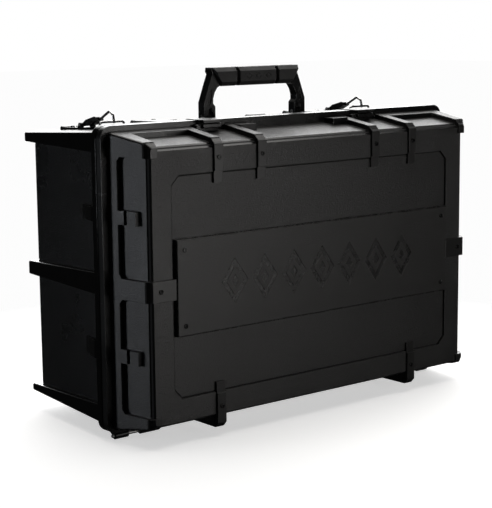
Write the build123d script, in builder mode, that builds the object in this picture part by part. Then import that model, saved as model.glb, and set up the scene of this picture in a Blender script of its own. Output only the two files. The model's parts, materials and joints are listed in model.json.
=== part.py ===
from build123d import *
import os

os.makedirs("parts", exist_ok=True)

# Miniature carry case: a hard two-part shell that stands on its long edge.
# X runs along the width, -Y is the front (the lid), +Z is up.  Everything is drawn about
# the parting plane of the two halves, Y = 0.  Each finished piece is then set forward by
# DEPTH_MIDDLE, so that the origin is on the standing surface, under the case's middle.

# ---------------------------------------------------------------- driving dimensions
CASE_WIDTH = 460.0
RIM_LOW = 8.0
RIM_HIGH = 305.0
RIM_THICK = 8.0
RIM_RADIUS = 12.0
SEAM_HALF = 0.2

LID_FACE = 58.0
STRAP_PROUD = 3.0
RECESS_DEPTH = 1.6
PLATE_PROUD = 4.0
BAND_STEP = 5.0
WALL = 3.0

TUB_FACE = 143.0
TUB_RIB_END = 148.0
SCREW_TALL = 1.1
DEPTH_MIDDLE = (TUB_RIB_END - LID_FACE - PLATE_PROUD - SCREW_TALL) / 2

STRAP_WIDTH = 10.5
STRAP_OUTER = 131.0
STRAP_INNER = 77.0
LATCH_X = 104.0
CLIP_X = 169.5
HANDLE_Y = 46.0

SIDES = {"left": -1, "right": 1}

# ---------------------------------------------------------------- lid form
LID_SIDE = 222.5
LID_TOP = 299.5
LID_BOTTOM = 11.5
SIDE_DRAFT = 0.14
TOP_DRAFT = 0.16
BOTTOM_DRAFT = 0.16
BAND_EDGE_DEPTH = 6.0
BAND_EDGE_RUN = 5.0
BAND_TOP_RUN = 5.8
FLOOR_EDGE_DEPTH = 5.0
FLOOR_EDGE_RUN = 3.0
FLOOR_TOP_RUN = 4.5


def export(builder, name):
    """Set a finished piece about the origin, label it and write its own STEP file."""
    piece = builder.part.moved(Location((0, -DEPTH_MIDDLE, 0)))
    piece.label = name
    export_step(piece, f"parts/{name}.step")


def through_sections(sections, radius):
    """A ruled solid through upright rounded rectangles: (y, half width, z low, z high)."""
    with BuildPart(mode=Mode.PRIVATE) as solid:
        for y, half_width, z_low, z_high in sections:
            with BuildSketch(Plane.XZ.offset(-y)):
                with Locations((0, (z_low + z_high) / 2)):
                    RectangleRounded(2 * half_width, z_high - z_low, radius)
        loft(ruled=True)
    return solid.part


def lid_section(depth, inset, bottom_inset):
    """The lid's outline at a depth in front of the rim, moved in by an inset."""
    return (
        -RIM_THICK - depth,
        LID_SIDE - inset - SIDE_DRAFT * depth,
        LID_BOTTOM + bottom_inset + BOTTOM_DRAFT * depth,
        LID_TOP - inset - TOP_DRAFT * depth,
    )


def shrink(section, depth, run, top_run):
    """The same outline further forward, drawn in all round for a chamfered edge."""
    y, half_width, z_low, z_high = section
    return (y - depth, half_width - run, z_low + run, z_high - top_run)


def block(x_range, y_range, z_range, mode=Mode.ADD):
    """Add or cut a box between two values on each axis of the part being built."""
    size = [high - low for low, high in (x_range, y_range, z_range)]
    centre = [(high + low) / 2 for low, high in (x_range, y_range, z_range)]
    with Locations(tuple(centre)):
        Box(*size, mode=mode)


def add_prism(x_low, x_high, points):
    """Add a prism along X, from its closed outline of (y, z) points."""
    with BuildSketch(Plane.YZ.offset(x_low), mode=Mode.PRIVATE) as profile:
        with BuildLine():
            Polyline(*points, close=True)
        make_face()
    extrude(profile.sketch, amount=x_high - x_low)


def both_sides(low, high):
    """The X range low..high and its mirror image."""
    return ((low, high), (-high, -low))


STRAP_FRONT = LID_FACE + STRAP_PROUD
FLOOR_RISE = 1.0
SECTION_RADIUS = 3.0
band_edge = lid_section(STRAP_FRONT - RIM_THICK - BAND_EDGE_DEPTH, 0.0, 0.0)
band_face = shrink(band_edge, BAND_EDGE_DEPTH, BAND_EDGE_RUN, BAND_TOP_RUN)
band_form = through_sections([lid_section(0, 0.0, 0.0), band_edge, band_face], SECTION_RADIUS)
floor_start = lid_section(0, BAND_STEP, FLOOR_RISE)
floor_edge = lid_section(LID_FACE - RIM_THICK - FLOOR_EDGE_DEPTH, BAND_STEP, FLOOR_RISE)
floor_face = shrink(floor_edge, FLOOR_EDGE_DEPTH, FLOOR_EDGE_RUN, FLOOR_TOP_RUN)
floor_form = through_sections([floor_start, floor_edge, floor_face], SECTION_RADIUS)

# Raised bands: next to the rim, at the four ends, at mid height, and the straps.  Along
# the top, the band next to the rim is left out between the two outer straps.
RIM_BAND = 12.0
RIM_BAND_TOP = 270.0
CAP_X = 203.0
CAP_LOW = 277.0
BASE_CAP_HIGH = 30.5
MID_Z = 152.0
MID_HALF = 10.0
PLATE_HALF = 183.5
STRAP_STEP = 260.5
FOOT_STEP = 43.5
TAB_HALF = 6.8
TAB_LEVELS = (220.0, 87.0)
TAB_X = 200.0
TAB_BACK_END = -28.5
TAB_FRONT_DEPTHS = (-44.0, -32.5)
PLATE_GAP = 0.4
BEYOND_X = 240.0
BEYOND_Z = 310.0
TOP_TAB_INNER = 52.0
TOP_TAB_FRONT = -22.5
TOP_TAB_HIGH = 299.2
CORNER = 4.0
band_front = -RIM_THICK - RIM_BAND
all_depths = (-70.0, -RIM_THICK)
outer_strap = (STRAP_OUTER - STRAP_WIDTH / 2, STRAP_OUTER + STRAP_WIDTH / 2)
inner_strap = (STRAP_INNER - STRAP_WIDTH / 2, STRAP_INNER + STRAP_WIDTH / 2)

with BuildPart(mode=Mode.PRIVATE) as band_zones:
    block((-BEYOND_X, BEYOND_X), (band_front, -RIM_THICK), (0, RIM_BAND_TOP))
    for x_range in both_sides(outer_strap[0], BEYOND_X):
        block(x_range, (band_front, -RIM_THICK), (0, BEYOND_Z))
    for x_range in both_sides(CAP_X, BEYOND_X):
        block(x_range, all_depths, (CAP_LOW, BEYOND_Z))
        block(x_range, all_depths, (0, BASE_CAP_HIGH))
    for x_range in both_sides(PLATE_HALF + PLATE_GAP, BEYOND_X):
        block(x_range, all_depths, (MID_Z - MID_HALF, MID_Z + MID_HALF))
    for x_range in both_sides(TAB_X, BEYOND_X):
        for level in TAB_LEVELS:
            for depths in ((TAB_BACK_END, band_front), TAB_FRONT_DEPTHS):
                block(x_range, depths, (level - TAB_HALF, level + TAB_HALF))
        for corner_z in (CAP_LOW, MID_Z + MID_HALF, MID_Z - MID_HALF, BASE_CAP_HIGH):
            up = -1 if corner_z in (CAP_LOW, MID_Z - MID_HALF) else 1
            add_prism(
                *x_range,
                [
                    (band_front, corner_z),
                    (band_front - CORNER, corner_z),
                    (band_front, corner_z + up * CORNER),
                ],
            )
    for x_range in both_sides(*outer_strap) + both_sides(*inner_strap):
        block(x_range, all_depths, (STRAP_STEP, BEYOND_Z))
    for x_range in both_sides(*outer_strap):
        block(x_range, all_depths, (0, FOOT_STEP))

# ---------------------------------------------------------------- lid shell
RECESS_HALF = 186.0
RECESS_LOW = 45.0
RECESS_HIGH = 259.5
RECESS_CHAMFER = 9.0
TAIL_LENGTH = 11.5
GROOVE_WIDTH = 1.4
GROOVE_DEPTH = 1.0
FOOT_LOW = 9.0
FOOT_BACK = -RIM_THICK - 0.5
NOTCH_HALF = 13.5
NOTCH_LOW = 302.0
floor_y = -(LID_FACE - RECESS_DEPTH)
tail_y = -(STRAP_FRONT - RECESS_DEPTH)

tail_depths = (tail_y, floor_y + GROOVE_DEPTH)
with BuildSketch(Plane.XZ.offset(-floor_y), mode=Mode.PRIVATE) as recess_outline:
    with Locations((0, (RECESS_LOW + RECESS_HIGH) / 2)):
        Rectangle(2 * RECESS_HALF, RECESS_HIGH - RECESS_LOW)
    chamfer(vertices(), RECESS_CHAMFER)
with BuildSketch(Plane.XZ.offset(-floor_y), mode=Mode.PRIVATE) as recess_groove:
    add(recess_outline.sketch)
    offset(recess_outline.sketch, amount=-GROOVE_WIDTH, mode=Mode.SUBTRACT)

with BuildPart() as lid_shell:
    add(floor_form)
    extrude(recess_outline.sketch, amount=10, mode=Mode.SUBTRACT)
    extrude(recess_groove.sketch, amount=-GROOVE_DEPTH, mode=Mode.SUBTRACT)
    add(band_form.intersect(band_zones.part))
    for x_range in both_sides(TOP_TAB_INNER, inner_strap[0] + 1):
        block(x_range, (TOP_TAB_FRONT, -RIM_THICK), (LID_TOP - 2 * BAND_STEP, TOP_TAB_HIGH))
    for x_range in both_sides(*outer_strap) + both_sides(*inner_strap):
        block(x_range, tail_depths, (STRAP_STEP - TAIL_LENGTH, STRAP_STEP))
    for x_range in both_sides(*outer_strap):
        block(x_range, tail_depths, (FOOT_STEP, FOOT_STEP + TAIL_LENGTH))
        add_prism(
            *x_range,
            [
                (FOOT_BACK, 22),
                (FOOT_BACK, FOOT_LOW),
                (-STRAP_FRONT + 4.5, FOOT_LOW),
                (-STRAP_FRONT, FOOT_LOW + 5),
                (-STRAP_FRONT, 28),
                (-STRAP_FRONT + 6, 30),
            ],
        )
    with BuildSketch(Plane.XZ.offset(SEAM_HALF)):
        with Locations((0, (RIM_LOW + RIM_HIGH) / 2)):
            RectangleRounded(CASE_WIDTH, RIM_HIGH - RIM_LOW, RIM_RADIUS)
    extrude(amount=RIM_THICK - SEAM_HALF)
    rim_edges = faces().sort_by(Axis.Y)[-1].outer_wire().edges()
    chamfer(rim_edges, 0.8)
    inner = lid_section(0, BAND_STEP + WALL, FLOOR_RISE + WALL)
    inner_end = lid_section(-floor_y - WALL - RIM_THICK, BAND_STEP + WALL, FLOOR_RISE + WALL)
    inner_face = shrink(inner_end, 0, FLOOR_EDGE_RUN, FLOOR_TOP_RUN)
    add(
        through_sections([(0.5, *inner[1:]), inner, inner_face], SECTION_RADIUS + 1),
        mode=Mode.SUBTRACT,
    )
    for x_range in both_sides(LATCH_X - NOTCH_HALF, LATCH_X + NOTCH_HALF):
        block(x_range, (-RIM_THICK - 0.5, 1), (NOTCH_LOW, RIM_HIGH + 1), Mode.SUBTRACT)
export(lid_shell, "lid_shell")


# ---------------------------------------------------------------- tub shell
# The deep half.  Its top face falls gently to the rear, three belts run right round it
# and stand past its side and rear faces, and wedges back up the rim on each side.
TUB_START = RIM_THICK - 1
TUB_SIDE = 220.0
BELT_SIDE = 227.0
TUB_REAR_SIDE = 210.5
BELT_REAR_SIDE = 217.5
TOP_FRONT = 298.9
TOP_REAR = 291.0
BELT_RADIUS = 2.0
BELTS = {
    "top": ((279.2, TOP_FRONT), (281.3, TOP_REAR)),
    "middle": ((142.5, 164.5), (144.5, 158.5)),
    "bottom": ((16.5, 34.5), (21.2, 28.5)),
}


def top_height(y):
    """Height of the tub's sloping top face at a depth behind the parting plane."""
    share = (y - TUB_START) / (TUB_RIB_END - TUB_START)
    return TOP_FRONT + (TOP_REAR - TOP_FRONT) * share


def base_height(y):
    """Height of the bottom belt's lower face at a depth behind the parting plane."""
    front_low = BELTS["bottom"][0][0]
    rear_low = BELTS["bottom"][1][0]
    return front_low + (rear_low - front_low) * (y - TUB_START) / (TUB_RIB_END - TUB_START)


def on_top(y, lift=0.0):
    """A point in the YZ plane on the tub's top face, or a little above it."""
    return (y, top_height(y) + lift)


TOP_SLOPE = (TOP_FRONT - TOP_REAR) / (TUB_RIB_END - TUB_START)
WEDGE_BACK = 42.0
wedge_levels = ((213.5, 227.0), (79.5, 97.0))
TUB_WALL = 4.0
cavity_rear = TUB_FACE - TUB_WALL

with BuildPart() as tub_shell:
    add(
        through_sections(
            [
                (TUB_START, TUB_SIDE, 17.0, TOP_FRONT - 0.4),
                (TUB_FACE - 4, TUB_REAR_SIDE + 0.5, 22.0, top_height(TUB_FACE) - 0.4),
                (TUB_FACE, TUB_REAR_SIDE - 3, 25.0, top_height(TUB_FACE) - 4),
            ],
            3.0,
        )
    )
    for (front_low, front_high), (rear_low, rear_high) in BELTS.values():
        add(
            through_sections(
                [
                    (TUB_START, BELT_SIDE, front_low, front_high),
                    (TUB_RIB_END, BELT_REAR_SIDE, rear_low, rear_high),
                ],
                BELT_RADIUS,
            )
        )
    for side in SIDES.values():
        for z_low, z_high in wedge_levels:
            with BuildSketch(Plane.XY.offset(z_low)):
                with BuildLine():
                    Polyline(
                        (side * 210, TUB_START),
                        (side * 226, TUB_START),
                        (side * 226, 17),
                        (side * 219, WEDGE_BACK),
                        (side * 210, WEDGE_BACK),
                        close=True,
                    )
                make_face()
            extrude(amount=z_high - z_low)
    with BuildSketch(Plane.XZ.offset(-SEAM_HALF)):
        with Locations((0, (RIM_LOW + RIM_HIGH) / 2)):
            RectangleRounded(CASE_WIDTH, RIM_HIGH - RIM_LOW, RIM_RADIUS)
    extrude(amount=-(RIM_THICK - SEAM_HALF))
    chamfer(faces().sort_by(Axis.Y)[0].outer_wire().edges(), 0.8)
    add(
        through_sections(
            [
                (-0.5, TUB_SIDE - TUB_WALL, 21.0, TOP_FRONT - 4.5),
                (RIM_THICK, TUB_SIDE - TUB_WALL, 21.0, TOP_FRONT - 4.5),
                (cavity_rear, TUB_REAR_SIDE - TUB_WALL - 2, 28.0, top_height(cavity_rear) - 5),
            ],
            4.0,
        ),
        mode=Mode.SUBTRACT,
    )
    for x_range in both_sides(LATCH_X - NOTCH_HALF, LATCH_X + NOTCH_HALF):
        block(x_range, (-1, RIM_THICK + 0.5), (NOTCH_LOW, RIM_HIGH + 1), Mode.SUBTRACT)
export(tub_shell, "tub_shell")

# Rear feet: moulded blocks under the bottom belt, each with a rubber pad.
FOOT_HALF = 8.0
FOOT_FRONT = 112.0
PAD_THICK = 2.5
for side_name, side in SIDES.items():
    x = side * STRAP_OUTER
    with BuildPart() as rear_foot:
        add_prism(
            x - FOOT_HALF,
            x + FOOT_HALF,
            [
                (FOOT_FRONT - 12, base_height(FOOT_FRONT - 12)),
                (FOOT_FRONT, PAD_THICK),
                (TUB_RIB_END - 3, PAD_THICK),
                (TUB_RIB_END, 12),
                (TUB_RIB_END, base_height(TUB_RIB_END)),
            ],
        )
    export(rear_foot, f"rear_foot_{side_name}")
    with BuildPart() as foot_pad:
        with BuildSketch(Plane.XY):
            with Locations((x, (FOOT_FRONT + TUB_RIB_END - 3) / 2)):
                RectangleRounded(2 * FOOT_HALF - 3, TUB_RIB_END - FOOT_FRONT - 7, 3)
        extrude(amount=PAD_THICK)
        chamfer(faces().sort_by(Axis.Z)[0].edges(), 0.6)
    export(foot_pad, f"foot_pad_{side_name}")

# ---------------------------------------------------------------- front plate and screws
PLATE_LOW = 106.0
PLATE_HIGH = 199.0
plate_front = -(LID_FACE + PLATE_PROUD)
SCREW_HEAD = 2.4
MOTIF_COUNT = 7
MOTIF_PITCH = 38.0
MOTIF_HALF = 16.5
MOTIF_TALL = 23.0
MOTIF_DEPTH = 0.5
MOTIF_SHARES = ((1.0, Mode.ADD), (0.62, Mode.SUBTRACT), (0.3, Mode.ADD))



def lozenge(half_wide, half_tall, mode=Mode.ADD):
    """Add or cut a lozenge at the current places of a sketch."""
    Polygon((-half_wide, 0), (0, half_tall), (half_wide, 0), (0, -half_tall), mode=mode)


with BuildPart() as front_plate:
    with BuildSketch(Plane.XZ.offset(-floor_y)):
        with Locations((0, (PLATE_LOW + PLATE_HIGH) / 2)):
            Rectangle(2 * PLATE_HALF, PLATE_HIGH - PLATE_LOW)
    extrude(amount=floor_y - plate_front)
    front_edges = faces().sort_by(Axis.Y)[0].edges()
    chamfer(front_edges, 1.0)
    with BuildSketch(Plane.XZ.offset(-plate_front)):
        with Locations((0, (PLATE_LOW + PLATE_HIGH) / 2)):
            with GridLocations(MOTIF_PITCH, 1, MOTIF_COUNT, 1):
                for share, mode in MOTIF_SHARES:
                    lozenge(MOTIF_HALF * share, MOTIF_TALL * share, mode)
    extrude(amount=-MOTIF_DEPTH, mode=Mode.SUBTRACT)
export(front_plate, "front_plate")


def screw(x, y, z, name):
    """A pan-head screw lying on a front face, its socket a shallow hexagon."""
    with BuildPart() as fastener:
        with BuildSketch(Plane.XZ.offset(-y)):
            with Locations((x, z)):
                Circle(SCREW_HEAD)
        extrude(amount=SCREW_TALL)
        fillet(faces().sort_by(Axis.Y)[0].edges(), 0.5)
        with BuildSketch(Plane.XZ.offset(-y + SCREW_TALL)):
            with Locations((x, z)):
                RegularPolygon(1.3, 6)
        extrude(amount=-0.8, mode=Mode.SUBTRACT)
    export(fastener, name)


PLATE_SCREWS = [(x, z) for z in (189.0, 116.0) for x in (-174.5, 174.5)]
for number, (x, z) in enumerate(PLATE_SCREWS, 1):
    screw(x, plate_front, z, f"plate_screw_{number}")
strap_screws = [(x, 273.5) for x in (-STRAP_OUTER, -STRAP_INNER, STRAP_INNER, STRAP_OUTER)]
strap_screws += [(x, 30.5) for x in (-STRAP_OUTER, STRAP_OUTER)]
strap_screws += [(x, MID_Z) for x in (-202.0, 202.0)]
for number, (x, z) in enumerate(strap_screws, 1):
    screw(x, -STRAP_FRONT, z, f"strap_screw_{number}")

# ---------------------------------------------------------------- bottom hinges
# Each hinge has one knuckle on each half and a pin between them, under the rims.
PIN_RADIUS = 1.75
KNUCKLE_RADIUS = 3.6
HINGE_Z = KNUCKLE_RADIUS
RUNNING = 0.08
TUB_KNUCKLE = (202.0, 217.0)
LID_KNUCKLE = (171.0, 187.0)
PIN_SPAN = (169.0, 220.0)


def hinge_leaf(x_range, facing, name):
    """A knuckle round the pin with a foot screwed under one rim; facing is -1 for the lid."""
    low, high = x_range
    bore = PIN_RADIUS + (RUNNING if facing < 0 else 0)
    with BuildPart() as leaf:
        with BuildSketch(Plane.YZ.offset(low)):
            with Locations((0, HINGE_Z)):
                Circle(KNUCKLE_RADIUS)
            with BuildLine():
                Polyline(
                    (0, HINGE_Z),
                    (facing * KNUCKLE_RADIUS, HINGE_Z),
                    (facing * (RIM_THICK - 0.8), RIM_LOW - 2.2),
                    (facing * (RIM_THICK - 0.8), RIM_LOW),
                    (facing * 0.4, RIM_LOW),
                    (facing * 0.4, HINGE_Z + 2),
                    close=True,
                )
            make_face()
            with Locations((0, HINGE_Z)):
                Circle(bore, mode=Mode.SUBTRACT)
        extrude(amount=high - low)
    export(leaf, name)


for side_name, side in SIDES.items():
    hinge_leaf(sorted(side * v for v in TUB_KNUCKLE), 1, f"hinge_tub_leaf_{side_name}")
    hinge_leaf(sorted(side * v for v in LID_KNUCKLE), -1, f"hinge_lid_leaf_{side_name}")
    with BuildPart() as hinge_pin:
        with BuildSketch(Plane.YZ.offset(min(side * v for v in PIN_SPAN))):
            with Locations((0, HINGE_Z)):
                Circle(PIN_RADIUS)
        extrude(amount=PIN_SPAN[1] - PIN_SPAN[0])
        chamfer(edges().filter_by(GeomType.CIRCLE), 0.4)
    export(hinge_pin, f"hinge_pin_{side_name}")

# ---------------------------------------------------------------- carrying handle
# A folding bail.  Each leg's foot is a fork round a lug on the tub and turns on a pin.
PIVOT_Z = 303.6
LEG_OUTER = 68.7
LEG_INNER = 54.2
LEG_HALF = 5.0
SLOT = (56.8, 62.4)
LUG = (57.3, 61.9)
POCKET_DEPTH = 1.5
GRIP_LOW = 335.0
GRIP_HIGH = 352.5
GRIP_DEPTH = 10.0
SLEEVE = 0.8
SLEEVE_CHAMFER = 4.2
HANDLE_PIN = 2.2
SLOT_TOP = 312.0
STOP_X = 62.0
STOP_HALF = 12.0
STOP_FRONT = 111.5
STOP_BACK = 120.5

# Outlines of one leg seen from the front, as (x, z): outside going up, inside going up.
LEG_OUTSIDE = (
    (LEG_OUTER, PIVOT_Z - LEG_HALF),
    (LEG_OUTER, 318.0),
    (62.4, 335.0),
    (57.4, 347.6),
    (59.2, GRIP_HIGH - 1.4),
    (58.4, GRIP_HIGH),
)
LEG_INSIDE = (
    (LEG_INNER, PIVOT_Z - LEG_HALF),
    (LEG_INNER, 313.6),
    (57.0, 316.8),
    (56.8, 322.0),
    (54.8, 328.0),
    (51.4, 332.8),
    (47.6, GRIP_LOW),
)
LEG_POCKET = ((59.4, 316.5), (64.6, 316.5), (60.6, 330.5), (57.4, 330.5))

with BuildPart() as handle_frame:
    with BuildSketch(Plane.XZ.offset(-(HANDLE_Y - LEG_HALF))):
        with BuildLine():
            Polyline(
                *((-x, z) for x, z in LEG_OUTSIDE),
                *reversed(LEG_OUTSIDE),
                *LEG_INSIDE,
                *((-x, z) for x, z in reversed(LEG_INSIDE)),
                close=True,
            )
        make_face()
    extrude(amount=-2 * LEG_HALF)
    foot_edges = edges().filter_by(Axis.X).group_by(Axis.Z)[0]
    fillet(foot_edges, LEG_HALF - 0.2)
    for side in SIDES.values():
        slot_middle = side * sum(SLOT) / 2
        with Locations((slot_middle, HANDLE_Y, (PIVOT_Z - 8 + SLOT_TOP) / 2)):
            Box(SLOT[1] - SLOT[0], 20, SLOT_TOP - PIVOT_Z + 8, mode=Mode.SUBTRACT)
        for face_y in (HANDLE_Y - LEG_HALF, HANDLE_Y + LEG_HALF):
            inward = -1 if face_y < HANDLE_Y else 1
            with BuildSketch(Plane.XZ.offset(-face_y)):
                with BuildLine():
                    Polyline(*((side * x, z) for x, z in LEG_POCKET), close=True)
                make_face()
            extrude(amount=inward * POCKET_DEPTH, mode=Mode.SUBTRACT)
        with BuildSketch(Plane.YZ.offset(min(side * LEG_INNER, side * LEG_OUTER))):
            with Locations((HANDLE_Y, PIVOT_Z)):
                Circle(HANDLE_PIN)
        extrude(amount=LEG_OUTER - LEG_INNER, mode=Mode.SUBTRACT)
export(handle_frame, "handle_frame")

# The grip sleeve is moulded round the bar in three lengths; its two ends are cut
# slanting, so that the legs come out from under them.
SLEEVE_BREAK = (24.3, 28.8)
SLEEVE_END_LOW = 46.6
SLEEVE_END_HIGH = 58.2
GRIP_MOTIF_PITCH = 13.0
GRIP_MOTIF_HALF = 4.6
GRIP_MOTIF_TALL = 3.4
GRIP_MOTIF_DEPTH = 0.4
sleeve_low = GRIP_LOW - SLEEVE
sleeve_high = GRIP_HIGH + SLEEVE
break_inner, break_outer = SLEEVE_BREAK
end_length = (
    (break_outer, sleeve_low),
    (SLEEVE_END_LOW, sleeve_low),
    (SLEEVE_END_HIGH, sleeve_high),
    (break_outer, sleeve_high),
)
middle_length = (
    (-break_inner, sleeve_low),
    (break_inner, sleeve_low),
    (break_inner, sleeve_high),
    (-break_inner, sleeve_high),
)
sleeve_lengths = ([(-x, z) for x, z in end_length], middle_length, end_length)
for number, outline in enumerate(sleeve_lengths, 1):
    with BuildPart() as grip_segment:
        with BuildSketch(Plane.XZ.offset(-(HANDLE_Y - GRIP_DEPTH))):
            with BuildLine():
                Polyline(*outline, close=True)
            make_face()
        extrude(amount=-2 * GRIP_DEPTH)
        chamfer(edges().filter_by(Axis.X), SLEEVE_CHAMFER)
        block(
            (-LEG_OUTER, LEG_OUTER),
            (HANDLE_Y - LEG_HALF, HANDLE_Y + LEG_HALF),
            (GRIP_LOW, GRIP_HIGH),
            Mode.SUBTRACT,
        )
        if outline is middle_length:
            for face_y, inward in ((HANDLE_Y - GRIP_DEPTH, -1), (HANDLE_Y + GRIP_DEPTH, 1)):
                with BuildSketch(Plane.XZ.offset(-face_y)):
                    with Locations((0, (GRIP_LOW + GRIP_HIGH) / 2)):
                        with GridLocations(GRIP_MOTIF_PITCH, 1, 3, 1):
                            lozenge(GRIP_MOTIF_HALF, GRIP_MOTIF_TALL)
                            lozenge(GRIP_MOTIF_HALF / 2, GRIP_MOTIF_TALL / 2, Mode.SUBTRACT)
                extrude(amount=inward * GRIP_MOTIF_DEPTH, mode=Mode.SUBTRACT)
    export(grip_segment, f"grip_segment_{number}")

for side_name, side in SIDES.items():
    with BuildPart() as handle_lug:
        with BuildSketch(Plane.YZ.offset(min(side * v for v in LUG))):
            with Locations((HANDLE_Y, PIVOT_Z)):
                Circle(LEG_HALF - 0.5)
            with BuildLine():
                Polyline(
                    (HANDLE_Y - LEG_HALF + 0.5, PIVOT_Z),
                    (HANDLE_Y + LEG_HALF - 0.5, PIVOT_Z),
                    on_top(HANDLE_Y + 8),
                    on_top(HANDLE_Y - 8),
                    close=True,
                )
            make_face()
            with Locations((HANDLE_Y, PIVOT_Z)):
                Circle(HANDLE_PIN + RUNNING, mode=Mode.SUBTRACT)
        extrude(amount=LUG[1] - LUG[0])
    export(handle_lug, f"handle_lug_{side_name}")
    with BuildPart() as handle_pin:
        start = min(side * LEG_INNER, side * LEG_OUTER)
        with BuildSketch(Plane.YZ.offset(start + 0.3)):
            with Locations((HANDLE_Y, PIVOT_Z)):
                Circle(HANDLE_PIN)
        extrude(amount=LEG_OUTER - LEG_INNER - 0.6)
    export(handle_pin, f"handle_pin_{side_name}")
    with BuildPart() as handle_stop:
        add_prism(
            side * STOP_X - STOP_HALF,
            side * STOP_X + STOP_HALF,
            [
                on_top(STOP_FRONT),
                on_top(STOP_FRONT, 4.0),
                on_top(STOP_BACK, 4.4),
                on_top(STOP_BACK),
            ],
        )
        chamfer(faces().sort_by(Axis.Z)[-1].edges(), 1.2)
    export(handle_stop, f"handle_stop_{side_name}")

# ---------------------------------------------------------------- rim latches
# A long arm hinged on the tub's top reaches over a notch in the rims onto a catch.
ARM_HALF = 11.0
ARM_PIVOT_Y = 99.0
ARM_PIVOT_Z = top_height(ARM_PIVOT_Y) + 3.2
ARM_GAP = 0.9
ARM_THICK = 3.4
NOSE_TIP = -17.5
NOSE_LOW = NOTCH_LOW + 0.4
NOSE_HIGH = 305.6
LATCH_PIN = 1.5
EAR_WIDTH = 3.0
CATCH_HALF = 11.0
CATCH_REACH = 9.0
CATCH_TALL = 4.2
CATCH_FOOT = 3.5

for side_name, side in SIDES.items():
    x = side * LATCH_X
    with BuildPart() as latch_arm:
        with BuildSketch(Plane.YZ.offset(x - ARM_HALF)):
            with BuildLine():
                Polyline(
                    (ARM_PIVOT_Y, ARM_PIVOT_Z - 2.3),
                    on_top(12, ARM_GAP),
                    (8.7, NOSE_LOW),
                    (NOSE_TIP, NOSE_LOW),
                    (NOSE_TIP, NOSE_HIGH - 1.2),
                    (NOSE_TIP + 1.2, NOSE_HIGH),
                    (10, NOSE_HIGH),
                    on_top(18, ARM_GAP + ARM_THICK),
                    (ARM_PIVOT_Y, ARM_PIVOT_Z + 2.3),
                    close=True,
                )
            make_face()
            with Locations((ARM_PIVOT_Y, ARM_PIVOT_Z)):
                Circle(2.6)
                Circle(LATCH_PIN, mode=Mode.SUBTRACT)
        extrude(amount=2 * ARM_HALF)
        for groove_y in (24, 30, 36, 42):
            with Locations((x, groove_y, top_height(groove_y) + ARM_GAP + ARM_THICK)):
                Box(2 * ARM_HALF - 6, 2.2, 1.6, mode=Mode.SUBTRACT)
    export(latch_arm, f"latch_arm_{side_name}")
    with BuildPart() as latch_bracket:
        for ear in (-1, 1):
            ear_middle = x + ear * (ARM_HALF + 0.5 + EAR_WIDTH / 2)
            with BuildSketch(Plane.YZ.offset(ear_middle - EAR_WIDTH / 2)):
                with Locations((ARM_PIVOT_Y, ARM_PIVOT_Z)):
                    Circle(3.2)
                with BuildLine():
                    Polyline(
                        (ARM_PIVOT_Y - 3.2, ARM_PIVOT_Z),
                        (ARM_PIVOT_Y + 3.2, ARM_PIVOT_Z),
                        on_top(ARM_PIVOT_Y + 8),
                        on_top(ARM_PIVOT_Y - 6),
                        close=True,
                    )
                make_face()
                with Locations((ARM_PIVOT_Y, ARM_PIVOT_Z)):
                    Circle(LATCH_PIN + RUNNING, mode=Mode.SUBTRACT)
            extrude(amount=EAR_WIDTH)
        base_y = ARM_PIVOT_Y + 5.4
        add_prism(
            x - ARM_HALF - 1.5,
            x + ARM_HALF + 1.5,
            [on_top(base_y), on_top(base_y, 1.4), on_top(base_y + 2, 1.1), on_top(base_y + 2)],
        )
    export(latch_bracket, f"latch_bracket_{side_name}")
    with BuildPart() as latch_pin:
        reach = ARM_HALF + 0.5 + EAR_WIDTH
        with BuildSketch(Plane.YZ.offset(x - reach)):
            with Locations((ARM_PIVOT_Y, ARM_PIVOT_Z)):
                Circle(LATCH_PIN)
        extrude(amount=2 * reach)
    export(latch_pin, f"latch_pin_{side_name}")
    with BuildPart() as catch:
        for low, high, reach, top in (
            (x - CATCH_HALF, x + CATCH_HALF, CATCH_REACH, NOTCH_LOW),
            (x - CATCH_HALF - 6, x - CATCH_HALF, CATCH_REACH - 3, NOTCH_LOW - 1.2),
        ):
            lid_top = LID_TOP - BAND_STEP
            add_prism(
                low,
                high,
                [
                    (-RIM_THICK, lid_top),
                    (-RIM_THICK, top),
                    (-RIM_THICK - reach + 0.8, top),
                    (-RIM_THICK - reach, top - 0.8),
                    (-RIM_THICK - reach, top - CATCH_TALL),
                    (-RIM_THICK - CATCH_FOOT, top - CATCH_TALL - 1),
                    (-RIM_THICK - CATCH_FOOT, lid_top - TOP_DRAFT * CATCH_FOOT),
                ],
            )
    export(catch, f"catch_{side_name}")

# ---------------------------------------------------------------- metal clips
# Each clip is a hinged body on a riveted plate at the rear of the top face.  Its hook
# passes over a wire staple that stands in line with the handle.
CLIP_HALF = 9.0
CLIP_PLATE = 2.4
CLIP_PLATE_ENDS = (93.0, 142.0)
CLIP_PIN = 1.2
CLIP_KNUCKLE = 2.3
KNUCKLE_WIDTH = 3.6
RIVET_PLACES = (118.0, 132.0)
CLIP_HINGE = (106.0, 298.2)
CLIP_EYE = 1.9
CLIP_FRONT = (82.6, 305.1)
HOOK_PEAK = (65.2, 313.2)
HOOK_BEND = (58.9, 310.4)
HOOK_TIP = (56.5, 302.0)
HOOK_RADIUS = 1.4
STAPLE_Y = 60.7
STAPLE_TOP = 303.2
STAPLE_HALF = 14.5
STAPLE_RADIUS = 1.3

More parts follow.
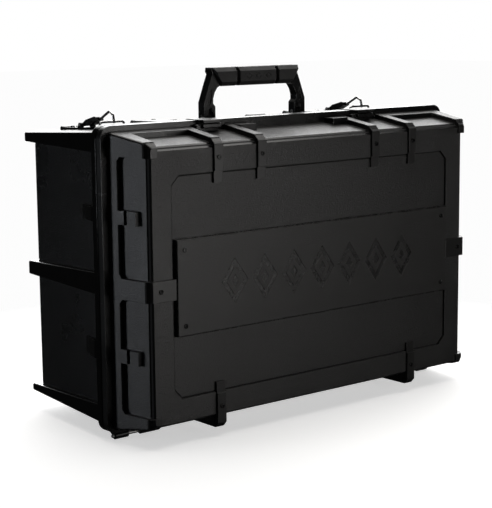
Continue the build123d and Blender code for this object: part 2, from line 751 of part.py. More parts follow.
for side_name, side in SIDES.items():
    x = side * CLIP_X
    hinge_y, hinge_z = CLIP_HINGE
    plate_front_y, plate_rear_y = CLIP_PLATE_ENDS
    with BuildPart() as clip_plate:
        with BuildSketch(Plane.YZ.offset(x - CLIP_HALF)):
            with BuildLine():
                Polyline(
                    on_top(plate_rear_y),
                    on_top(plate_rear_y, CLIP_PLATE),
                    on_top(plate_rear_y - 2, CLIP_PLATE + 1.4),
                    on_top(plate_rear_y - 5, CLIP_PLATE + 1.0),
                    on_top(plate_rear_y - 6, CLIP_PLATE),
                    on_top(plate_front_y + 1, CLIP_PLATE),
                    on_top(plate_front_y, CLIP_PLATE - 1),
                    on_top(plate_front_y),
                    close=True,
                )
            make_face()
        extrude(amount=2 * CLIP_HALF)
        for knuckle in (-1, 1):
            knuckle_low = x + knuckle * (CLIP_HALF - KNUCKLE_WIDTH / 2) - KNUCKLE_WIDTH / 2
            with BuildSketch(Plane.YZ.offset(knuckle_low)):
                with Locations((hinge_y, hinge_z)):
                    Circle(CLIP_KNUCKLE)
                with BuildLine():
                    Polyline(
                        (hinge_y - CLIP_KNUCKLE, hinge_z),
                        (hinge_y + CLIP_KNUCKLE, hinge_z),
                        on_top(hinge_y + CLIP_KNUCKLE + 1, CLIP_PLATE - 1),
                        on_top(hinge_y - CLIP_KNUCKLE - 1, CLIP_PLATE - 1),
                        close=True,
                    )
                make_face()
                with Locations((hinge_y, hinge_z)):
                    Circle(CLIP_PIN, mode=Mode.SUBTRACT)
            extrude(amount=KNUCKLE_WIDTH)
    export(clip_plate, f"clip_plate_{side_name}")
    for number, rivet_y in enumerate(RIVET_PLACES, 1):
        seat = Plane(
            origin=(x, *on_top(rivet_y, CLIP_PLATE)),
            x_dir=(1, 0, 0),
            z_dir=(0, TOP_SLOPE, 1),
        )
        with BuildPart() as clip_rivet:
            with BuildSketch(seat):
                Circle(2.8)
            extrude(amount=1.6, taper=25)
        export(clip_rivet, f"clip_rivet_{side_name}_{number}")
    with BuildPart() as clip_pin:
        with BuildSketch(Plane.YZ.offset(x - CLIP_HALF)):
            with Locations((hinge_y, hinge_z)):
                Circle(CLIP_PIN)
        extrude(amount=2 * CLIP_HALF)
    export(clip_pin, f"clip_pin_{side_name}")
    body_half = CLIP_HALF - KNUCKLE_WIDTH - 0.6
    front_y, front_z = CLIP_FRONT
    with BuildPart() as clip_body:
        with BuildSketch(Plane.YZ.offset(x - body_half)):
            with Locations((hinge_y, hinge_z)):
                Circle(CLIP_EYE)
            with BuildLine():
                Polyline(
                    (hinge_y, hinge_z - CLIP_EYE),
                    (hinge_y + 1.2, hinge_z + 1.4),
                    (hinge_y - 5, hinge_z + 5.2),
                    (front_y + 3, front_z + 2.3),
                    (front_y, front_z + 1.8),
                    (front_y, front_z - 1.8),
                    (front_y + 10, front_z - 6.6),
                    close=True,
                )
            make_face()
            with Locations((hinge_y, hinge_z)):
                Circle(CLIP_PIN + RUNNING, mode=Mode.SUBTRACT)
        extrude(amount=2 * body_half)
    export(clip_body, f"clip_body_{side_name}")
    with BuildPart() as clip_hook:
        with BuildLine(Plane.YZ.offset(x)) as hook_path:
            FilletPolyline(
                (front_y, front_z),
                (front_y - 2, front_z),
                HOOK_PEAK,
                HOOK_BEND,
                HOOK_TIP,
                radius=2.6,
            )
        hook_start = hook_path.wires()[0]
        with BuildSketch(Plane(origin=hook_start @ 0, z_dir=hook_start % 0)):
            Circle(HOOK_RADIUS)
        sweep(path=hook_start)
    export(clip_hook, f"clip_hook_{side_name}")
    with BuildPart() as staple:
        foot_z = top_height(STAPLE_Y - STAPLE_RADIUS)
        with BuildLine(Plane.XZ.offset(-STAPLE_Y)) as staple_path:
            FilletPolyline(
                (x - STAPLE_HALF, foot_z),
                (x - STAPLE_HALF, STAPLE_TOP),
                (x + STAPLE_HALF, STAPLE_TOP),
                (x + STAPLE_HALF, foot_z),
                radius=3.0,
            )
        staple_wire = staple_path.wires()[0]
        with BuildSketch(Plane(origin=staple_wire @ 0, z_dir=staple_wire % 0)):
            Circle(STAPLE_RADIUS)
        sweep(path=staple_wire)
    export(staple, f"strap_staple_{side_name}")

# ---------------------------------------------------------------- foam trays
# Each half holds a block of foam cut through with pockets for figures.
FOAM_BACK = 12.0


def foam_tray(name, y_back, y_front, half_width, z_low, z_high, columns, rows):
    """A foam block between two depths, open towards the parting plane."""
    deep = y_back - (FOAM_BACK if y_back > 0 else -FOAM_BACK)
    margin = 14.0
    rib = 12.0
    pocket_x = (2 * half_width - 2 * margin - (columns - 1) * rib) / columns
    pocket_z = (z_high - z_low - 2 * margin - (rows - 1) * rib) / rows
    middle_z = (z_low + z_high) / 2
    with BuildPart() as tray:
        block(
            (-half_width, half_width),
            (min(y_back, y_front), max(y_back, y_front)),
            (z_low, z_high),
        )
        with BuildSketch(Plane.XZ.offset(-y_front)):
            with Locations((0, middle_z)):
                with GridLocations(pocket_x + rib, pocket_z + rib, columns, rows):
                    Rectangle(pocket_x, pocket_z)
        extrude(amount=-(deep - y_front), mode=Mode.SUBTRACT)
    export(tray, name)


foam_tray("tub_foam", cavity_rear, 3.0, 203.0, 29.0, 285.0, 4, 2)
foam_tray("lid_foam", floor_y + WALL, -3.0, 202.5, 28.5, 278.0, 5, 2)
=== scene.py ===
"""Miniature carry case: materials, foam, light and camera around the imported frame."""

import json
import math

import bpy
from mathutils import Matrix, Vector


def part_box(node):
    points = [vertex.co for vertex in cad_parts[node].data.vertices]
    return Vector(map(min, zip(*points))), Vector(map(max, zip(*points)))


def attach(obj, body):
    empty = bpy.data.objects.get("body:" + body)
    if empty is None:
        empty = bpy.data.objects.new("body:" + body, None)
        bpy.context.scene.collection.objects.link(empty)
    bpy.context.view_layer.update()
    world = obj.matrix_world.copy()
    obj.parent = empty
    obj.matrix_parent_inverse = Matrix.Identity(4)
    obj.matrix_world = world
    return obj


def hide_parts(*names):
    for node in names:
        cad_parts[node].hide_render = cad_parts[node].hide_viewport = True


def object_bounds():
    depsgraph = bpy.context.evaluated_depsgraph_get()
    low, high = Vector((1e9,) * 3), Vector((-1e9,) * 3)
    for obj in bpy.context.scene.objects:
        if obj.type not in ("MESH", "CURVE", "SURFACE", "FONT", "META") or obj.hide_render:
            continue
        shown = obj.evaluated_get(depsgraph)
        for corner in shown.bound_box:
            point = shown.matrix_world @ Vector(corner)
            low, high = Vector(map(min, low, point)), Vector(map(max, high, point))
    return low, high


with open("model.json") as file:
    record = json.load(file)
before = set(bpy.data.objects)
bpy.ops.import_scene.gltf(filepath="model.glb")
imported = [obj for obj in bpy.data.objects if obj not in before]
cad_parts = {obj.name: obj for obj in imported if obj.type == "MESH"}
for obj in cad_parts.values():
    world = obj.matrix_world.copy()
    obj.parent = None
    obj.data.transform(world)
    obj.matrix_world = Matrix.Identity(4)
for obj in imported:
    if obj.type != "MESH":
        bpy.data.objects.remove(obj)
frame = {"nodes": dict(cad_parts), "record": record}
CAD_LOW, CAD_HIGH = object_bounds()
NODES = frame["nodes"]
RECORD = frame["record"]
MM = 0.001

# Places on the case that its materials change at, from the boxes of its shells and plate.
TUB_LOW, TUB_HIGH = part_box("tub_shell")
LID_LOW, LID_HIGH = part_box("lid_shell")
PLATE_LOW, PLATE_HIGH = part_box("front_plate")
# The broad grained fields lie farther out than FIELD_X to the sides, FIELD_Y to front and back.
FIELD_X = LID_HIGH.x - 40 * MM
FIELD_Y = TUB_HIGH.y - 13.05 * MM
# The tub's belts stand past BELT_X, drawn in by BELT_TAPER towards the back, and past BELT_Y.
BELT_X = TUB_HIGH.x - 9 * MM
BELT_TAPER = 0.068
BELT_Y = TUB_HIGH.y - 2.55 * MM
# The straps' fronts are before STRAP_Y. The groove round the recess has its floor in GROOVE_Y.
STRAP_Y = LID_LOW.y + 1.95 * MM
GROOVE_Y = (PLATE_HIGH.y + 0.35 * MM, PLATE_HIGH.y + 1.85 * MM)
# The lid's grained fields end at the rims, and the plate's motif is cut this deep at least.
RIM_FRONT_Y = TUB_LOW.y - 8.4 * MM
MOTIF_FACE_Y = PLATE_LOW.y + 0.3 * MM
# A face counts as square to an axis from the first normal component on, in full from the second.
SQUARE_ON = (0.90, 0.94)


# ---------------------------------------------------------------- material helpers
# Cosines between the rounded and the true normal, from full edge to no edge.
EDGE_LEAN = (0.80, 0.98)


class Shader:
    """A new material with its principled shader, and short ways to add nodes to it."""

    def __init__(self, name):
        self.material = bpy.data.materials.new(name)
        self.material.use_nodes = True
        self.tree = self.material.node_tree
        self.surface = self.tree.nodes["Principled BSDF"]
        self.place = self.add("TexCoord").outputs["Object"]
        self.normal_out = None

    def add(self, kind, **settings):
        node = self.tree.nodes.new("ShaderNode" + kind)
        for key, value in settings.items():
            setattr(node, key, value)
        return node

    def feed(self, socket, value):
        """Link a node's output into a socket, or set the socket to a plain value."""
        if isinstance(value, bpy.types.NodeSocket):
            self.tree.links.new(value, socket)
        else:
            socket.default_value = value

    def noise(self, scale, detail=2.0, roughness=0.5, place=None, distortion=0.0):
        node = self.add("TexNoise")
        self.feed(node.inputs["Vector"], place or self.place)
        node.inputs["Scale"].default_value = scale
        node.inputs["Detail"].default_value = detail
        node.inputs["Roughness"].default_value = roughness
        node.inputs["Distortion"].default_value = distortion
        return node.outputs["Fac"]

    def cells(self, scale, feature="F1", place=None):
        node = self.add("TexVoronoi", feature=feature)
        self.feed(node.inputs["Vector"], place or self.place)
        node.inputs["Scale"].default_value = scale
        return node.outputs["Distance"]

    def stretched(self, x, y, z):
        """Object coordinates scaled along each axis, for scratches and brushing."""
        node = self.add("Mapping")
        self.feed(node.inputs["Vector"], self.place)
        node.inputs["Scale"].default_value = (x, y, z)
        return node.outputs["Vector"]

    def spread(self, value, low, high, to_low=0.0, to_high=1.0):
        """Carry a value's range onto another, held at both ends."""
        node = self.add("MapRange")
        self.feed(node.inputs["Value"], value)
        node.inputs["From Min"].default_value = low
        node.inputs["From Max"].default_value = high
        node.inputs["To Min"].default_value = to_low
        node.inputs["To Max"].default_value = to_high
        return node.outputs["Result"]

    def maths(self, operation, first, second=0.0):
        node = self.add("Math", operation=operation)
        self.feed(node.inputs[0], first)
        self.feed(node.inputs[1], second)
        return node.outputs[0]

    def axis(self, name, source=None):
        """One component of the object coordinates, or of another vector."""
        node = self.add("SeparateXYZ")
        self.feed(node.inputs[0], source or self.place)
        return node.outputs[name]

    def facing(self, name):
        """One component of the surface's own normal, in the object's space."""
        return self.axis(name, self.add("TexCoord").outputs["Normal"])

    def mix(self, share, first, second):
        node = self.add("Mix", data_type="RGBA")
        self.feed(node.inputs["Factor"], share)
        self.feed(node.inputs[6], first)
        self.feed(node.inputs[7], second)
        return node.outputs[2]

    def blend_values(self, share, first, second):
        node = self.add("Mix")
        self.feed(node.inputs["Factor"], share)
        self.feed(node.inputs["A"], first)
        self.feed(node.inputs["B"], second)
        return node.outputs["Result"]

    def bump(self, height, distance, strength=1.0):
        """Lay a height on the bumps so far; distance is in metres."""
        node = self.add("Bump")
        self.feed(node.inputs["Strength"], strength)
        node.inputs["Distance"].default_value = distance
        self.feed(node.inputs["Height"], height)
        if self.normal_out:
            self.feed(node.inputs["Normal"], self.normal_out)
        self.normal_out = node.outputs["Normal"]

    def round_edges(self, radius):
        """Catch the light along sharp edges as if they had this small radius.

        Gives back 1 on the edges themselves and 0 away from them.
        """
        node = self.add("Bevel", samples=6)
        node.inputs["Radius"].default_value = radius
        self.normal_out = node.outputs["Normal"]
        lean = self.add("VectorMath", operation="DOT_PRODUCT")
        self.feed(lean.inputs[0], node.outputs["Normal"])
        self.feed(lean.inputs[1], self.add("NewGeometry").outputs["True Normal"])
        return self.spread(lean.outputs["Value"], *EDGE_LEAN, 1.0, 0.0)

    def finish(self, colour, roughness, **constants):
        self.feed(self.surface.inputs["Base Color"], colour)
        self.feed(self.surface.inputs["Roughness"], roughness)
        if self.normal_out:
            self.feed(self.surface.inputs["Normal"], self.normal_out)
        for key, value in constants.items():
            self.surface.inputs[key.replace("_", " ")].default_value = value
        return self.material


def grey(level, warmth=0.0):
    """A near-neutral colour; positive warmth leans to brown, negative to blue."""
    return (level * (1 + warmth), level, level * (1 - warmth), 1.0)


POLISHED = grey(0.0025)
# Near-black painted into the groove round the lid's recess as the shade that falls in it.
GROOVE_SHADE = grey(0.001)
STRAP_ROUGH = 0.35
GROOVE_ROUGH = 0.8


def grained_share(shader, rim_y, belts):
    """1 on the broad grained fields, 0 on the polished rims, steps and chamfers.

    The fields are all the faces that look straight up or down, and the outermost ones that
    look to the sides, front and back. With rim_y only faces before that plane count, and
    belts leaves out the belts round the tub.
    """
    sizes = shader.add("VectorMath", operation="ABSOLUTE")
    shader.feed(sizes.inputs[0], shader.add("TexCoord").outputs["Normal"])
    reach = shader.add("VectorMath", operation="ABSOLUTE")
    shader.feed(reach.inputs[0], shader.place)
    share = shader.spread(shader.axis("Z", sizes.outputs["Vector"]), *SQUARE_ON)
    for name, least in (("X", FIELD_X), ("Y", FIELD_Y)):
        square = shader.spread(shader.axis(name, sizes.outputs["Vector"]), *SQUARE_ON)
        outer = shader.maths("GREATER_THAN", shader.axis(name, reach.outputs["Vector"]), least)
        share = shader.maths("MAXIMUM", share, shader.maths("MULTIPLY", square, outer))
    if rim_y is not None:
        inside = shader.maths("LESS_THAN", shader.axis("Y"), rim_y)
        share = shader.maths("MULTIPLY", share, inside)
    if belts:
        drawn_in = shader.maths("MULTIPLY", shader.axis("Y"), BELT_TAPER)
        out = shader.maths("ADD", shader.axis("X", reach.outputs["Vector"]), drawn_in)
        wall = shader.maths("LESS_THAN", out, BELT_X)
        share = shader.maths("MULTIPLY", share, wall)
        before_back = shader.maths("LESS_THAN", shader.axis("Y"), BELT_Y)
        share = shader.maths("MULTIPLY", share, before_back)
    return share


def plastic_colour(shader, mottle, edge, grained, level, warmth, dust_and_top_light):
    """Mottled black with specks of lint, upward faces lightened partly as settled dust and partly
    as painted light on the tops, and edges lightened partly as rubbed wear and partly as painted
    highlight.
    """
    colour = shader.mix(mottle, grey(level * 0.8, warmth), grey(level * 1.25, warmth))
    # Upward faces turn a warm light grey: partly settled dust, partly painted light on the tops
    # where the overhead light falls.
    upward = shader.spread(shader.facing("Z"), 0.55, 0.98)
    settled_dust_and_top_light = shader.maths("MULTIPLY", upward, shader.spread(shader.noise(70, 4), 0.25, 0.8))
    colour = shader.mix(shader.maths("MULTIPLY", settled_dust_and_top_light, dust_and_top_light), colour, grey(level * 5, 0.08))
    lint = shader.spread(shader.noise(520, 3, 0.7), 0.58, 0.72)
    colour = shader.mix(shader.maths("MULTIPLY", lint, 0.4), colour, grey(level * 3.5, 0.02))
    colour = shader.mix(grained, POLISHED, colour)
    # Edges turn a lighter grey in patches: partly rubbed wear, partly a painted highlight along
    # the edges.
    rubbed = shader.maths("MULTIPLY", edge, shader.spread(shader.noise(55, 5, 0.7), 0.38, 0.66))
    return shader.mix(shader.maths("MULTIPLY", rubbed, 0.6), colour, grey(level * 6, 0.04))


def plastic_roughness(shader, mottle, grained, rough, polish, wear):
    """Matt on the grained fields, glossier elsewhere, dulled by long flat scuffs."""
    long_marks = shader.noise(1.0, 6, 0.75, place=shader.stretched(14, 14, 160), distortion=0.6)
    scuffs = shader.spread(long_marks, 0.62, 0.72)
    worn = shader.maths("MULTIPLY", scuffs, wear)
    matt = shader.maths("ADD", shader.spread(mottle, 0, 1, rough - 0.05, rough + 0.07), worn)
    bright = shader.maths("ADD", shader.spread(mottle, 0, 1, polish - 0.04, polish + 0.06), worn)
    return shader.blend_values(grained, bright, matt)


def moulded_plastic(
    name, level, rough, grain, dust_and_top_light, polish, warmth=0.0, shine=0.5, rim_y=None, belts=False
):
    """Near-black moulded plastic: matt grained fields, and glossier, blacker steps and rims.

    grain is the pebbles per metre. rim_y marks the lid, which also has smoother straps and
    a groove round its recess with painted shade in it. belts marks the tub, which has polished
    belts, weaker scuffs and no grain at all between its fields.
    """
    shader = Shader(name)
    edge = shader.round_edges(0.7 * MM)
    grained = grained_share(shader, rim_y, belts)
    mottle = shader.spread(shader.noise(16, 5, 0.62), 0.32, 0.7)
    colour = plastic_colour(shader, mottle, edge, grained, level, warmth, dust_and_top_light)
    wear = 0.02 if belts else 0.06
    roughness = plastic_roughness(shader, mottle, grained, rough, polish, wear)
    if rim_y is not None:
        strap = shader.maths("LESS_THAN", shader.axis("Y"), STRAP_Y)
        roughness = shader.blend_values(strap, roughness, STRAP_ROUGH)
        grained = shader.maths("MULTIPLY", grained, shader.spread(strap, 0, 1, 1.0, 0.25))
        # The groove's floor is painted near-black as shade, and made matt.
        behind = shader.maths("GREATER_THAN", shader.axis("Y"), GROOVE_Y[0])
        before = shader.maths("LESS_THAN", shader.axis("Y"), GROOVE_Y[1])
        groove = shader.maths("MULTIPLY", behind, before)
        colour = shader.mix(groove, colour, GROOVE_SHADE)
        roughness = shader.blend_values(groove, roughness, GROOVE_ROUGH)
    pebble = shader.maths("MULTIPLY", grained, 0.75)
    shader.bump(shader.cells(grain, "SMOOTH_F1"), 0.22 * MM, pebble)
    uneven = shader.maths("MULTIPLY", grained, 0.6)
    shader.bump(shader.noise(grain * 0.42, 4, 0.75), 0.8 * MM, uneven)
    skin = shader.maths("MULTIPLY", grained, 0.4) if belts else 0.4
    shader.bump(shader.noise(grain * 2.6, 3, 0.6), 0.06 * MM, skin)
    shader.bump(shader.noise(9, 2), 1.2 * MM, 0.12)
    return shader.finish(colour, roughness, Specular_IOR_Level=shine)


def plate_plastic(name):
    """The front plate: finer grain, edges lightened partly as rubbed wear and partly as painted
    highlight, and a darker, glossier engraved motif.
    """
    shader = Shader(name)
    edge = shader.round_edges(0.7 * MM)
    mottle = shader.spread(shader.noise(22, 5, 0.65), 0.3, 0.72)
    plain = shader.mix(mottle, grey(0.007, 0.04), grey(0.011, 0.05))
    worn = shader.spread(shader.noise(38, 6, 0.8, distortion=1.2), 0.5, 0.6)
    below = shader.maths("GREATER_THAN", shader.axis("Y"), MOTIF_FACE_Y)
    in_motif = shader.maths("MULTIPLY", below, shader.spread(worn, 0, 1, 1.0, 0.35))
    speck = shader.spread(shader.noise(560, 3, 0.7), 0.58, 0.72)
    plain = shader.mix(shader.maths("MULTIPLY", speck, 0.4), plain, grey(0.03, 0.03))
    colour = shader.mix(in_motif, plain, grey(0.005, 0.05))
    # Edges turn a lighter grey in patches: partly rubbed wear, partly a painted highlight along
    # the edges.
    rubbed = shader.maths("MULTIPLY", edge, shader.spread(shader.noise(45, 5, 0.7), 0.4, 0.62))
    colour = shader.mix(shader.maths("MULTIPLY", rubbed, 0.7), colour, grey(0.06, 0.08))
    roughness = shader.spread(in_motif, 0, 1, 0.42, 0.26)
    shader.bump(shader.cells(1500, "SMOOTH_F1"), 0.16 * MM, 0.6)
    shader.bump(shader.noise(560, 4, 0.75), 0.6 * MM, 0.5)
    shader.bump(shader.noise(3600, 3), 0.05 * MM, 0.5)
    shader.bump(shader.noise(8, 2), 1.5 * MM, 0.12)
    return shader.finish(colour, roughness, Specular_IOR_Level=0.5)


def soft_rubber(name, level, rib_pitch=None):
    """Matt rubber with a fine skin, and ribs across X where a pitch is given."""
    shader = Shader(name)
    shader.round_edges(1.2 * MM)
    mottle = shader.spread(shader.noise(60, 4), 0.3, 0.7)
    bloom = shader.spread(shader.noise(240, 5, 0.7), 0.5, 0.75)
    colour = shader.mix(mottle, grey(level * 0.8), grey(level * 1.2, 0.02))
    colour = shader.mix(shader.maths("MULTIPLY", bloom, 0.25), colour, grey(level * 2.6, 0.03))
    if rib_pitch:
        turn = shader.maths("MULTIPLY", shader.axis("X"), 2 * math.pi / rib_pitch)
        shader.bump(shader.spread(shader.maths("SINE", turn), -0.4, 0.6), 0.4 * MM, 0.8)
    shader.bump(shader.noise(2200, 3, 0.7), 0.1 * MM, 0.6)
    return shader.finish(colour, shader.spread(mottle, 0, 1, 0.52, 0.68), Sheen_Weight=0.05)


def blackened_steel(name, level, rough):
    """Black-finished steel: rubbed to bare metal in fine scratches."""
    shader = Shader(name)
    shader.round_edges(0.3 * MM)
    fine_lines = shader.noise(1.0, 6, 0.8, place=shader.stretched(90, 900, 900), distortion=0.4)
    scratches = shader.spread(fine_lines, 0.66, 0.72)
    rubbed = shader.spread(shader.noise(110, 5, 0.7), 0.62, 0.74)
    bare = shader.maths("MAXIMUM", shader.maths("MULTIPLY", scratches, 0.5), rubbed)
    colour = shader.mix(shader.maths("MULTIPLY", bare, 0.6), grey(level), grey(0.22, 0.02))
    roughness = shader.spread(shader.noise(300, 4), 0.3, 0.7, rough - 0.06, rough + 0.1)
    shader.bump(shader.noise(900, 4, 0.6), 0.06 * MM, 0.5)
    return shader.finish(colour, roughness, Metallic=0.75, Coat_Weight=0.15)


def plated_wire(name):
    """Plated steel wire: bright, with faint drawing lines and dull patches."""
    shader = Shader(name)
    dull = shader.spread(shader.noise(140, 5, 0.7), 0.45, 0.7)
    colour = shader.mix(dull, grey(0.62, -0.01), grey(0.34, 0.02))
    lines = shader.noise(1.0, 3, 0.6, place=shader.stretched(400, 60, 400))
    shader.bump(lines, 0.05 * MM, 0.4)
    return shader.finish(colour, shader.spread(dull, 0, 1, 0.14, 0.34), Metallic=1.0)


def drawn_steel(name):
    """Pin steel: dull grey, turned lines round it."""
    shader = Shader(name)
    lines = shader.noise(1.0, 3, 0.7, place=shader.stretched(2400, 120, 120))
    tarnish = shader.spread(shader.noise(90, 4), 0.4, 0.75)
    colour = shader.mix(tarnish, grey(0.42), grey(0.2, 0.05))
    shader.bump(lines, 0.05 * MM, 0.5)
    return shader.finish(colour, shader.spread(lines, 0.2, 0.8, 0.26, 0.42), Metallic=1.0)


def foam_material(name):
    """Charcoal open-cell foam: pinholes painted dark as shade over cloudy grey, with a soft
    sheen.
    """
    shader = Shader(name)
    cells = shader.cells(820)
    fine = shader.cells(1900)
    cloud = shader.spread(shader.noise(24, 4, 0.6), 0.3, 0.7)
    colour = shader.mix(cloud, grey(0.026, -0.03), grey(0.046, -0.02))
    # The pinholes are darkened as painted shade in the pores.
    pore_shade = shader.spread(cells, 0.12, 0.34, 1.0, 0.0)
    colour = shader.mix(shader.maths("MULTIPLY", pore_shade, 0.65), colour, grey(0.010))
    shader.bump(shader.spread(cells, 0.0, 0.5), 0.6 * MM, 0.8)
    shader.bump(shader.spread(fine, 0.0, 0.5), 0.3 * MM, 0.6)
    return shader.finish(colour, 0.95, Sheen_Weight=0.35, Sheen_Roughness=0.6)


# ---------------------------------------------------------------- materials on CAD nodes
MATERIALS = {
    # The tub's colour, darker than the lid's, is painted shade for the rim's shade on the tub's
    # sides.
    "shell": moulded_plastic(
        "tub_plastic_painted_shade", 0.004, rough=0.3, grain=1500, dust_and_top_light=0.15, polish=0.16, shine=0.2, belts=True
    ),
    "plate": plate_plastic("plate_plastic"),
    "handle": moulded_plastic(
        "handle_plastic", 0.005, rough=0.34, grain=1500, dust_and_top_light=0.2, polish=0.24, warmth=0.02
    ),
    "grip": soft_rubber("grip_rubber", 0.0045),
    "latch": moulded_plastic(
        "latch_plastic", 0.005, rough=0.34, grain=1700, dust_and_top_light=0.2, polish=0.26
    ),
    "fastener": blackened_steel("black_screw", 0.012, 0.24),
    "blackened": blackened_steel("blackened_steel", 0.016, 0.3),
    "plated": plated_wire("plated_wire"),
    "steel": drawn_steel("pin_steel"),
    "pad": soft_rubber("pad_rubber", 0.035, rib_pitch=3 * MM),
    "foam": foam_material("charcoal_foam"),
}
# The lid shares the tub's slot in the record and has a coarser grain of its own. Its colour,
# lighter than the tub's, is painted light and shade: it stands in for the light on the lid's
# sides that the rim keeps off the tub's sides.
NODE_MATERIALS = {
    "lid_shell": moulded_plastic(
        "lid_plastic_painted_light", 0.009, rough=0.39, grain=1150, dust_and_top_light=0.12, polish=0.25,
        warmth=0.03, rim_y=RIM_FRONT_Y,
    ),
}

for part in RECORD["subparts"]:
    name = part["node"]
    mesh = NODES[name].data
    mesh.materials.clear()
    mesh.materials.append(NODE_MATERIALS.get(name, MATERIALS[part["material_slot"]]))


# ---------------------------------------------------------------- foam
def foam_mesh(name, low, high, pockets, mouth_side):
    """A block with rectangular pockets in its Y face at mouth_side, -1 or 1."""
    xs = sorted({low.x, high.x} | {edge for box in pockets for edge in (box[0][0], box[1][0])})
    zs = sorted({low.z, high.z} | {edge for box in pockets for edge in (box[0][2], box[1][2])})
    mouth = low.y if mouth_side < 0 else high.y
    back = high.y if mouth_side < 0 else low.y
    floors = [box[1][1] if mouth_side < 0 else box[0][1] for box in pockets]

    def depth_at(x, z):
        for (box_low, box_high), floor in zip(pockets, floors):
            if box_low[0] < x < box_high[0] and box_low[2] < z < box_high[2]:
                return floor
        return mouth

    vertices = []
    faces = []

    def quad(*corners):
        faces.append(tuple(range(len(vertices), len(vertices) + 4)))
        vertices.extend(corners)

    columns = list(zip(xs, xs[1:]))
    rows = list(zip(zs, zs[1:]))
    depths = [[depth_at((x0 + x1) / 2, (z0 + z1) / 2) for z0, z1 in rows] for x0, x1 in columns]
    for i, (x0, x1) in enumerate(columns):
        for j, (z0, z1) in enumerate(rows):
            y = depths[i][j]
            quad((x0, y, z0), (x1, y, z0), (x1, y, z1), (x0, y, z1))
            quad((x0, back, z0), (x1, back, z0), (x1, back, z1), (x0, back, z1))
            left = depths[i - 1][j] if i else back
            under = depths[i][j - 1] if j else back
            if left != y:
                quad((x0, left, z0), (x0, y, z0), (x0, y, z1), (x0, left, z1))
            if under != y:
                quad((x0, under, z0), (x1, under, z0), (x1, y, z0), (x0, y, z0))
            if i == len(columns) - 1:
                quad((x1, y, z0), (x1, back, z0), (x1, back, z1), (x1, y, z1))
            if j == len(rows) - 1:
                quad((x0, y, z1), (x1, y, z1), (x1, back, z1), (x0, back, z1))
    mesh = bpy.data.meshes.new(name)
    mesh.from_pydata(vertices, [], faces)
    return mesh


def apply_modifiers(piece):
    """Replace a piece's mesh with the result of its modifiers."""
    graph = bpy.context.evaluated_depsgraph_get()
    made = bpy.data.meshes.new_from_object(piece.evaluated_get(graph))
    piece.modifiers.clear()
    piece.data = made


def cloud_texture(name, size, depth):
    texture = bpy.data.textures.new(name, "CLOUDS")
    texture.noise_scale = size
    texture.noise_depth = depth
    return texture


FOAM_VOXEL = 3.6 * MM
FOAM_INSET = 0.5 * MM
FOAM_WELD = 0.1 * MM
# Broad swelling of the block and the finer waver of its cut walls, each with its full push.
FOAM_PUSHES = (
    (cloud_texture("foam_swell", 50 * MM, 1), 1.6 * MM),
    (cloud_texture("foam_cut", 12 * MM, 2), 0.7 * MM),
)


def foam_piece(name, node, body, prefix, mouth_side):
    """The foam block for one half: soft edges and cut walls that waver, in place of a node."""
    low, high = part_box(node)
    inset = Vector((FOAM_INSET, FOAM_INSET, FOAM_INSET))
    openings = RECORD["physics"]["openings"]
    pockets = [entry["box_m"] for entry in openings if entry["name"].startswith(prefix)]
    mesh = foam_mesh(name, low + inset, high - inset, pockets, mouth_side)
    piece = bpy.data.objects.new(name, mesh)
    bpy.context.scene.collection.objects.link(piece)
    weld = piece.modifiers.new("weld", "WELD")
    weld.merge_threshold = FOAM_WELD
    voxels = piece.modifiers.new("voxels", "REMESH")
    voxels.mode = "VOXEL"
    voxels.voxel_size = FOAM_VOXEL
    voxels.use_smooth_shade = True
    eased = piece.modifiers.new("eased_edges", "SMOOTH")
    eased.factor = 0.5
    eased.iterations = 4
    for texture, strength in FOAM_PUSHES:
        push = piece.modifiers.new(texture.name, "DISPLACE")
        push.texture = texture
        push.texture_coords = "LOCAL"
        push.strength = strength
        push.mid_level = 0.6
    apply_modifiers(piece)
    piece.data.materials.clear()
    piece.data.materials.append(MATERIALS["foam"])
    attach(piece, body)
    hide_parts(node)


foam_piece("tub_foam_block", "tub_foam", "base", "tub_pocket", -1)
foam_piece("lid_foam_block", "lid_foam", "lid", "lid_pocket", 1)


# ---------------------------------------------------------------- stage, light and camera
FLOOR_HALF = 9.0
# The floor turns plain white between these distances from its middle, and glows this strongly
# at the two ends.
FLOOR_FADE = (0.2, 0.6)
FLOOR_GLOW = (0.5, 0.98)


def floor_material():
    """A matt pale floor, part lit and part glowing, that turns to plain white farther out."""
    shader = Shader("studio_floor")
    cloud = shader.spread(shader.noise(0.8, 3), 0.3, 0.7)
    colour = shader.mix(cloud, grey(0.88, 0.004), grey(0.90, 0.002))
    length = shader.add("VectorMath", operation="LENGTH")
    shader.feed(length.inputs[0], shader.place)
    away = shader.spread(length.outputs["Value"], *FLOOR_FADE)
    glow = shader.spread(away, 0, 1, *FLOOR_GLOW)
    shader.feed(shader.surface.inputs["Emission Strength"], glow)
    shader.surface.inputs["Emission Color"].default_value = grey(1.0)
    return shader.finish(shader.mix(away, colour, grey(0.0)), 0.75, Specular_IOR_Level=0.0)


floor_mesh = bpy.data.meshes.new("floor")
floor_corners = [
    (x * FLOOR_HALF, y * FLOOR_HALF, CAD_LOW.z) for x, y in ((-1, -1), (1, -1), (1, 1), (-1, 1))
]
floor_mesh.from_pydata(floor_corners, [], [(0, 1, 2, 3)])
floor_mesh.materials.append(floor_material())
floor = bpy.data.objects.new("floor", floor_mesh)
bpy.context.scene.collection.objects.link(floor)
floor.visible_diffuse = False
floor.visible_glossy = False

MIDDLE = (CAD_LOW + CAD_HIGH) / 2


def aim(azimuth, elevation):
    """The direction that a view from this azimuth and elevation looks along."""
    a = math.radians(azimuth)
    e = math.radians(elevation)
    return Vector((math.sin(a) * math.cos(e), math.cos(a) * math.cos(e), -math.sin(e)))


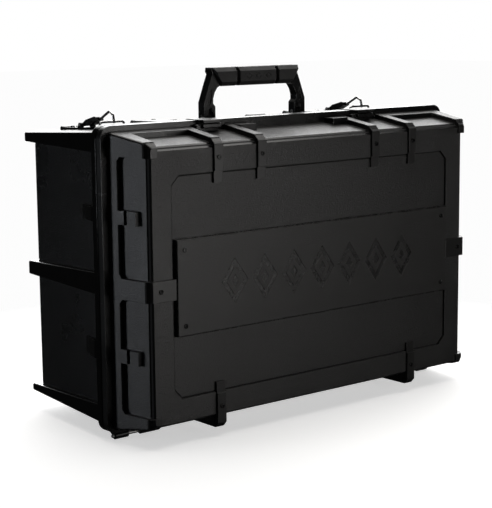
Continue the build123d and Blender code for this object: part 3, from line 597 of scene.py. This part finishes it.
def area_light(name, place, size, watts, colour):
    """A soft box that looks at the middle of the case and isn't seen itself."""
    light = bpy.data.lights.new(name, "AREA")
    light.shape = "RECTANGLE"
    light.size, light.size_y = size
    light.energy = watts
    light.color = colour
    lamp = bpy.data.objects.new(name, light)
    lamp.location = place
    lamp.rotation_euler = (MIDDLE - lamp.location).to_track_quat("-Z", "Y").to_euler()
    lamp.visible_camera = False
    bpy.context.scene.collection.objects.link(lamp)


WARM = (1.0, 0.98, 0.96)
PALE = (1.0, 0.99, 0.97)
# Name, place, width and height, watts, colour. All but the first stand low, for one side each.
for light in (
    ("overhead", (0.2, 0.25, 2.0), (2.4, 1.6), 30, (1.0, 0.98, 0.95)),
    ("front_right", (0.08, -0.98, 0.17), (0.2, 0.5), 2.7, WARM),
    ("front_far", (0.44, -0.93, 0.19), (0.14, 0.4), 0.6, WARM),
    ("left_back", (-1.28, 0.56, 0.18), (0.26, 0.3), 3.6, (0.90, 0.94, 1.0)),
    ("back_fill", (0.35, 1.2, 0.13), (0.5, 0.2), 4.0, PALE),
    ("right_fill", (1.35, 0.12, 0.13), (0.5, 0.2), 4.0, PALE),
):
    area_light(*light)

# The surround glows softly round this direction, over these cosines, between these strengths.
GLOW_WAY = Vector((0.66, 0.70, 0.30)).normalized()
GLOW_LEAN = (0.75, 0.97)
GLOW_STRENGTH = (0.015, 4.2)


def studio_world():
    """A surround that is plain white to look at and lights the case with one soft glow."""
    world = bpy.data.worlds.new("studio")
    world.use_nodes = True
    tree = world.node_tree
    background = tree.nodes["Background"]
    way = tree.nodes.new("ShaderNodeTexCoord").outputs["Generated"]
    lean = tree.nodes.new("ShaderNodeVectorMath")
    lean.operation = "DOT_PRODUCT"
    lean.inputs[1].default_value = GLOW_WAY
    tree.links.new(way, lean.inputs[0])
    ramp = tree.nodes.new("ShaderNodeMapRange")
    ramp.interpolation_type = "SMOOTHSTEP"
    ramp.inputs["From Min"].default_value, ramp.inputs["From Max"].default_value = GLOW_LEAN
    ramp.inputs["To Min"].default_value, ramp.inputs["To Max"].default_value = GLOW_STRENGTH
    tree.links.new(lean.outputs["Value"], ramp.inputs["Value"])
    seen = tree.nodes.new("ShaderNodeLightPath").outputs["Is Camera Ray"]
    pick = tree.nodes.new("ShaderNodeMix")
    tree.links.new(seen, pick.inputs["Factor"])
    tree.links.new(ramp.outputs["Result"], pick.inputs["A"])
    pick.inputs["B"].default_value = 1.0
    tree.links.new(pick.outputs["Result"], background.inputs["Strength"])
    background.inputs["Color"].default_value = (1.0, 1.0, 1.0, 1.0)
    return world


bpy.context.scene.world = studio_world()
bpy.context.scene.view_settings.view_transform = "Standard"

# The camera stands where one perspective fit of the case's corners puts it. The roll turns it
# about its line of sight, and AIMED_AT is the point in the middle of its frame.
VIEW_AZIMUTH = 39.40
VIEW_ELEVATION = 9.117
VIEW_ROLL = math.radians(-0.579)
VIEW_DISTANCE = 1.5144
LENS = 107.98
SENSOR = 36.0
AIMED_AT = Vector((-0.0491, -0.04245, 0.16417))

forward = aim(VIEW_AZIMUTH, VIEW_ELEVATION)
level_right = forward.cross(Vector((0, 0, 1))).normalized()
level_up = level_right.cross(forward)
right = math.cos(VIEW_ROLL) * level_right + math.sin(VIEW_ROLL) * level_up
up = math.cos(VIEW_ROLL) * level_up - math.sin(VIEW_ROLL) * level_right
lens = bpy.data.cameras.new("camera")
lens.sensor_fit = "HORIZONTAL"
lens.sensor_width = SENSOR
lens.lens = LENS
camera = bpy.data.objects.new("camera", lens)
turned = Matrix((right, up, -forward)).transposed().to_4x4()
camera.matrix_world = Matrix.Translation(AIMED_AT - VIEW_DISTANCE * forward) @ turned
bpy.context.scene.collection.objects.link(camera)
bpy.context.scene.camera = camera
